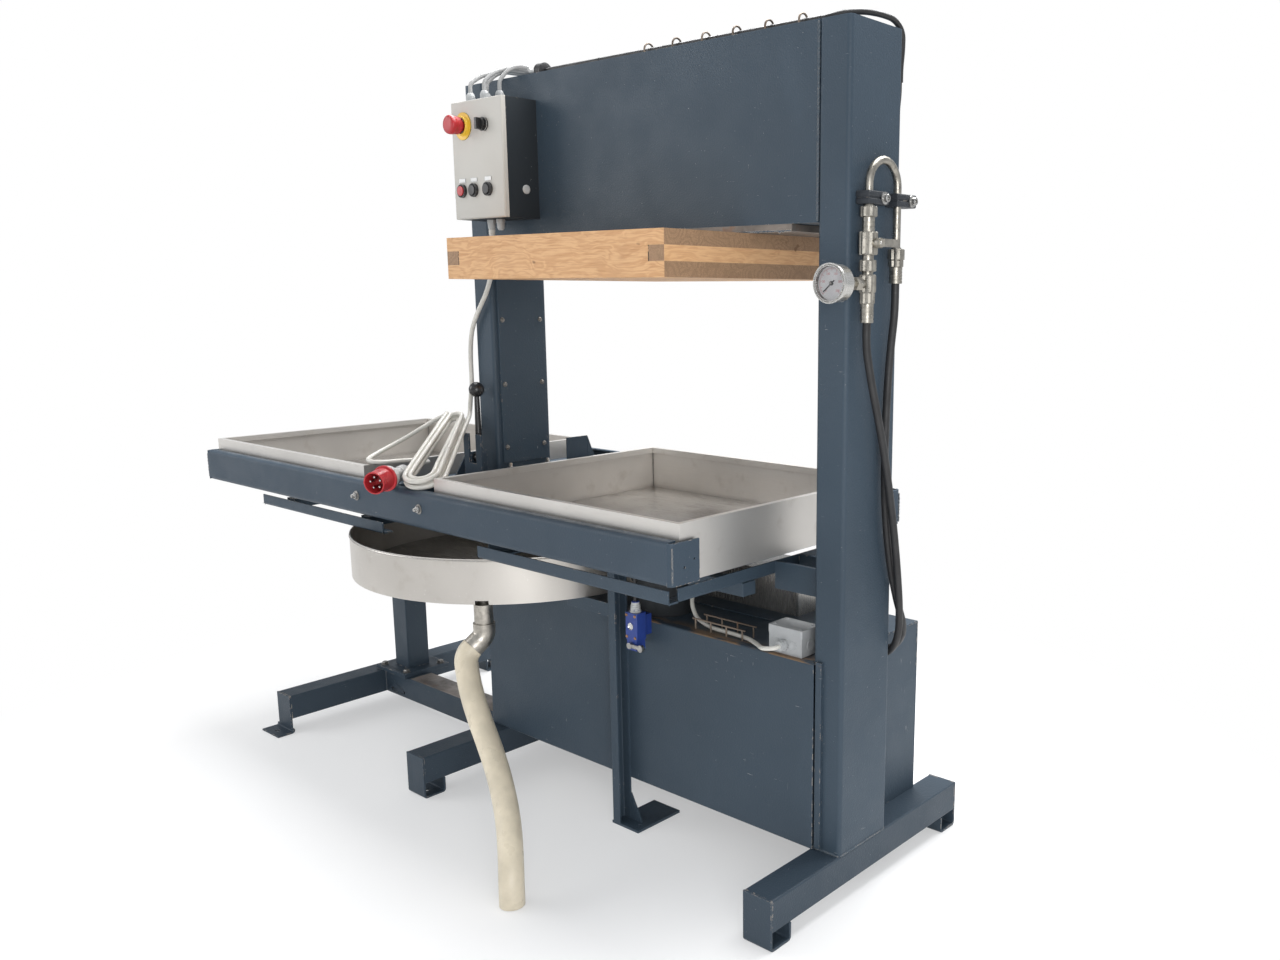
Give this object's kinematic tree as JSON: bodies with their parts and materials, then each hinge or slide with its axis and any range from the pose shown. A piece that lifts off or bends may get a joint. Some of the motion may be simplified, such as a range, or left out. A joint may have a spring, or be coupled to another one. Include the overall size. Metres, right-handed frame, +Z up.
{
  "type": "rack and cloth cider press",
  "caption": "Hydraulic rack and cloth cider press: portal frame, wooden counter block, lifting ram, and a swivel table with two trays over a round juice pan.",
  "frame": {"origin": "on the floor, at the centre of the press outline in plan, with the table in its docked place and without the free cord and hose", "axes": "+X along the press from the free tray to the right column, +Y from the control box side to the back, +Z up"},
  "size_m": [2.07, 0.935, 1.7145],
  "materials": {
    "paint": "satin powder coat, chipped at the edges",
    "door_grey": "fine textured powder coat",
    "box_paint": "fine textured powder coat",
    "stainless": "brushed, stained",
    "bright_steel": "zinc plated",
    "raw_steel": "mill finish, browned",
    "wood": "planed, unfinished",
    "machine_paint": "satin",
    "black_plastic": "satin",
    "red_plastic": "gloss",
    "grey_plastic": "satin",
    "blue_plastic": "satin",
    "black_rubber": "smooth",
    "white_pvc": "smooth, slightly dirty",
    "cream_hose": "smooth, finely grooved",
    "gauge_glass": "clear",
    "cable_black": "smooth"
  },
  "bodies": {
    "frame": {"right_column": "paint", "left_column": "paint", "column_cover": "paint", "frame_bolts": "bright_steel", "crossbeam": "paint", "counter_plate": "raw_steel", "block_outer_layers": "wood", "block_middle_layer": "wood", "feet": "paint", "left_post": "paint", "left_rest": "paint", "support_post": "paint", "rest_frame": "paint", "casing": "paint", "lower_beam": "paint", "cylinder_barrel": "machine_paint", "power_unit_cover": "stainless", "power_unit": "machine_paint", "junction_box": "grey_plastic", "deck_cable": "white_pvc", "juice_pan": "stainless", "drain_pipe": "stainless", "drain_hose": "cream_hose", "swivel_bearing": "bright_steel", "control_box": "box_paint", "cable_glands": "grey_plastic", "cables": "cable_black", "cable_wires": "bright_steel", "limit_switch": "blue_plastic", "steel_pipe": "bright_steel", "pipe_clamps": "bright_steel", "hydraulic_fittings": "bright_steel", "pressure_gauge": "bright_steel", "gauge_glass": "gauge_glass", "hydraulic_hoses": "black_rubber", "supply_cord": "white_pvc"},
    "table": {"table_hub": "paint", "table_crossbeams": "paint", "table_rails": "paint", "rail_bolts": "bright_steel", "left_tray": "stainless", "lever_bracket": "paint", "cord_hank": "white_pvc", "cord_ends": "white_pvc", "plug_body": "grey_plastic", "plug_shroud": "red_plastic"},
    "lifted_tray": {"right_tray": "stainless"},
    "ram": {"ram": "bright_steel"},
    "lever": {"lock_lever": "black_plastic"},
    "lock_bolt": {"lock_bolt": "bright_steel"},
    "door": {"control_door": "door_grey", "door_fittings": "black_plastic"},
    "estop": {"estop_button": "red_plastic"},
    "selector": {"selector_knob": "black_plastic"},
    "red_button": {"red_button": "red_plastic"},
    "left_button": {"black_button_left": "black_plastic"},
    "right_button": {"black_button_right": "black_plastic"},
    "valve_handle": {"valve_handle": "bright_steel"},
    "needle": {"gauge_needle": "black_plastic"},
    "switch_lever": {"switch_lever": "bright_steel"}
  },
  "joints": [
    {"name": "table_swivel", "type": "hinge", "parent": "frame", "child": "table", "pos_m": [-0.115, 0, 0.7], "axis": [0, 0, 1], "range_deg": [-180, 0]},
    {"name": "ram_slide", "type": "slide", "parent": "frame", "child": "ram", "axis": [0, 0, 1], "range_m": [0, 0.35]},
    {"name": "tray_lift", "type": "slide", "parent": "table", "child": "lifted_tray", "axis": [0, 0, 1], "range_m": [0, 0.35]},
    {"name": "lever_turn", "type": "hinge", "parent": "table", "child": "lever", "pos_m": [-0.11, -0.116, 0.812], "axis": [1, 0, 0], "range_deg": [0, 24]},
    {"name": "lock_bolt_slide", "type": "slide", "parent": "table", "child": "lock_bolt", "axis": [0, 0, 1], "range_m": [0, 0.0128]},
    {"name": "door_turn", "type": "hinge", "parent": "frame", "child": "door", "pos_m": [-0.0745, -0.1605, 1.504], "axis": [0, 0, -1], "range_deg": [0, 110]},
    {"name": "estop_press", "type": "slide", "parent": "door", "child": "estop", "axis": [0, 1, 0], "range_m": [0, 0.004]},
    {"name": "selector_turn", "type": "hinge", "parent": "door", "child": "selector", "pos_m": [0.052, -0.178, 1.576], "axis": [0, -1, 0], "range_deg": [-45, 45]},
    {"name": "red_button_press", "type": "slide", "parent": "door", "child": "red_button", "axis": [0, 1, 0], "range_m": [0, 0.003], "stiffness_N_per_m": 400, "springref_m": -0.002},
    {"name": "left_button_press", "type": "slide", "parent": "door", "child": "left_button", "axis": [0, 1, 0], "range_m": [0, 0.003], "stiffness_N_per_m": 400, "springref_m": -0.002},
    {"name": "right_button_press", "type": "slide", "parent": "door", "child": "right_button", "axis": [0, 1, 0], "range_m": [0, 0.003], "stiffness_N_per_m": 400, "springref_m": -0.002},
    {"name": "valve_turn", "type": "hinge", "parent": "frame", "child": "valve_handle", "pos_m": [1.0163, -0.049, 1.3015], "axis": [1, 0, 0], "range_deg": [0, 90]},
    {"name": "needle_turn", "type": "hinge", "parent": "frame", "child": "needle", "pos_m": [0.995, -0.155, 1.23], "axis": [0, -1, 0], "range_deg": [-270, 0]},
    {"name": "switch_lever_turn", "type": "hinge", "parent": "frame", "child": "switch_lever", "pos_m": [0.449, -0.15, 0.453], "axis": [0, -1, 0], "range_deg": [-25, 25], "stiffness_Nm_per_rad": 0.3}
  ],
  "couplings": [
    {"joint": "tray_lift", "follows": "ram_slide", "ratio": 1},
    {"joint": "lock_bolt_slide", "follows": "lever_turn", "m_per_rad": 0.0305}
  ]
}
